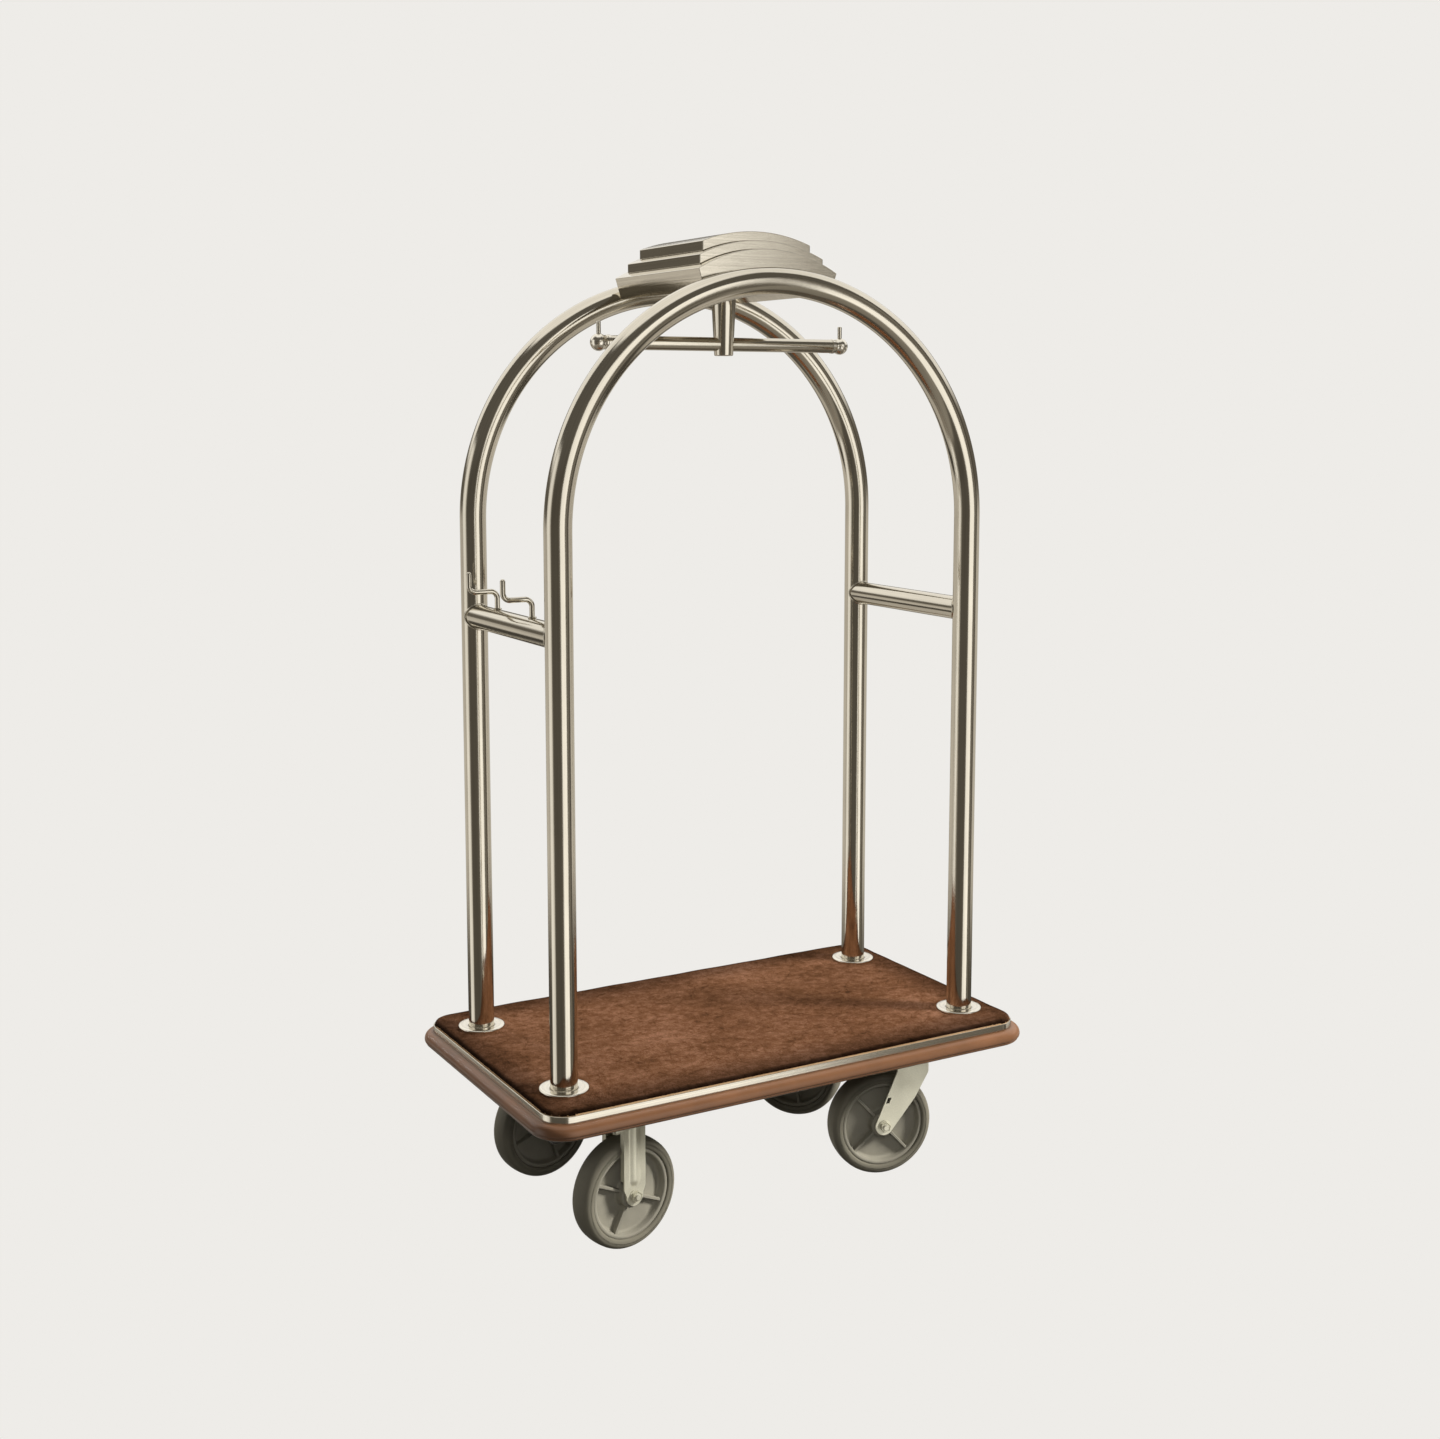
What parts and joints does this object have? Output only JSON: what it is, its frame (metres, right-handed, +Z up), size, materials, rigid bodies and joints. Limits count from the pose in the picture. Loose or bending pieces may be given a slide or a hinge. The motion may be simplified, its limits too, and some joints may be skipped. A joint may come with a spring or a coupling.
{
  "type": "hotel luggage cart",
  "caption": "Birdcage hotel luggage cart: bent steel tube arches on a carpeted deck with bumper, hanger bar, coat hooks, rigid and swivel casters.",
  "frame": {"origin": "on the floor, under the middle of the deck: the bottom centre of the bounding box", "axes": "+Z up, +X along the cart from its rigid casters to its swivel casters, +Y across the cart from front to rear"},
  "size_m": [1.0296, 0.6096, 1.793],
  "materials": {
    "brushed_steel": "warm brushed stainless steel, grain along each tube",
    "bright_steel": "satin bright steel",
    "zinc_steel": "pale zinc plate",
    "frame_paint": "satin dark paint",
    "carpet": "short brown pile",
    "plywood": "raw plywood",
    "bumper": "smooth brown vinyl-like rubber",
    "tyre": "warm grey non-marking rubber",
    "wheel_core": "warm grey moulded polyolefin"
  },
  "bodies": {
    "cart": {"caster_channel_left": "frame_paint", "caster_channel_right": "frame_paint", "crown_lower_tier": "brushed_steel", "crown_middle_tier": "brushed_steel", "crown_upper_tier": "brushed_steel", "deck_board": "plywood", "deck_bumper": "bumper", "deck_carpet": "carpet", "deck_trim_band": "brushed_steel", "end_rail_left": "frame_paint", "end_rail_right": "frame_paint", "front_arch": "brushed_steel", "front_coat_hook": "brushed_steel", "front_left_axle_bolt": "zinc_steel", "front_left_axle_nut": "zinc_steel", "front_left_caster_frame": "zinc_steel", "front_right_caster_plate": "zinc_steel", "front_right_kingpin": "zinc_steel", "hanger_bar": "brushed_steel", "hanger_finial_left": "bright_steel", "hanger_finial_right": "bright_steel", "hanger_post": "brushed_steel", "left_crossbar": "brushed_steel", "post_bolt_front_left": "zinc_steel", "post_bolt_front_right": "zinc_steel", "post_bolt_rear_left": "zinc_steel", "post_bolt_rear_right": "zinc_steel", "post_flange_front_left": "bright_steel", "post_flange_front_right": "bright_steel", "post_flange_rear_left": "bright_steel", "post_flange_rear_right": "bright_steel", "rear_arch": "brushed_steel", "rear_coat_hook": "brushed_steel", "rear_left_axle_bolt": "zinc_steel", "rear_left_axle_nut": "zinc_steel", "rear_left_caster_frame": "zinc_steel", "rear_right_caster_plate": "zinc_steel", "rear_right_kingpin": "zinc_steel", "right_crossbar": "brushed_steel", "side_rail_front": "frame_paint", "side_rail_rear": "frame_paint"},
    "front_right_swivel": {"front_right_caster_fork": "zinc_steel", "front_right_axle_bolt": "zinc_steel", "front_right_axle_nut": "zinc_steel"},
    "rear_right_swivel": {"rear_right_caster_fork": "zinc_steel", "rear_right_axle_bolt": "zinc_steel", "rear_right_axle_nut": "zinc_steel"},
    "front_left_wheel": {"front_left_tyre": "tyre", "front_left_wheel_core": "wheel_core", "front_left_wheel_bearing": "zinc_steel"},
    "rear_left_wheel": {"rear_left_tyre": "tyre", "rear_left_wheel_core": "wheel_core", "rear_left_wheel_bearing": "zinc_steel"},
    "front_right_wheel": {"front_right_tyre": "tyre", "front_right_wheel_core": "wheel_core", "front_right_wheel_bearing": "zinc_steel"},
    "rear_right_wheel": {"rear_right_tyre": "tyre", "rear_right_wheel_core": "wheel_core", "rear_right_wheel_bearing": "zinc_steel"}
  },
  "joints": [
    {"name": "front_left_wheel_spin", "type": "hinge", "parent": "cart", "child": "front_left_wheel", "pos_m": [-0.306, -0.176, 0.1016], "axis": [-0.1736, 0.9848, 0], "continuous": true},
    {"name": "rear_left_wheel_spin", "type": "hinge", "parent": "cart", "child": "rear_left_wheel", "pos_m": [-0.306, 0.176, 0.1016], "axis": [-0.1736, 0.9848, 0], "continuous": true},
    {"name": "front_right_caster_swivel", "type": "hinge", "parent": "cart", "child": "front_right_swivel", "pos_m": [0.315, -0.152, 0.228], "axis": [0, 0, 1], "continuous": true},
    {"name": "front_right_wheel_spin", "type": "hinge", "parent": "front_right_swivel", "child": "front_right_wheel", "pos_m": [0.26843, -0.14039, 0.1016], "axis": [0.2419, 0.9703, 0], "continuous": true},
    {"name": "rear_right_caster_swivel", "type": "hinge", "parent": "cart", "child": "rear_right_swivel", "pos_m": [0.315, 0.152, 0.228], "axis": [0, 0, 1], "continuous": true},
    {"name": "rear_right_wheel_spin", "type": "hinge", "parent": "rear_right_swivel", "child": "rear_right_wheel", "pos_m": [0.28415, 0.18877, 0.1016], "axis": [0.766, 0.6428, 0], "continuous": true}
  ]
}
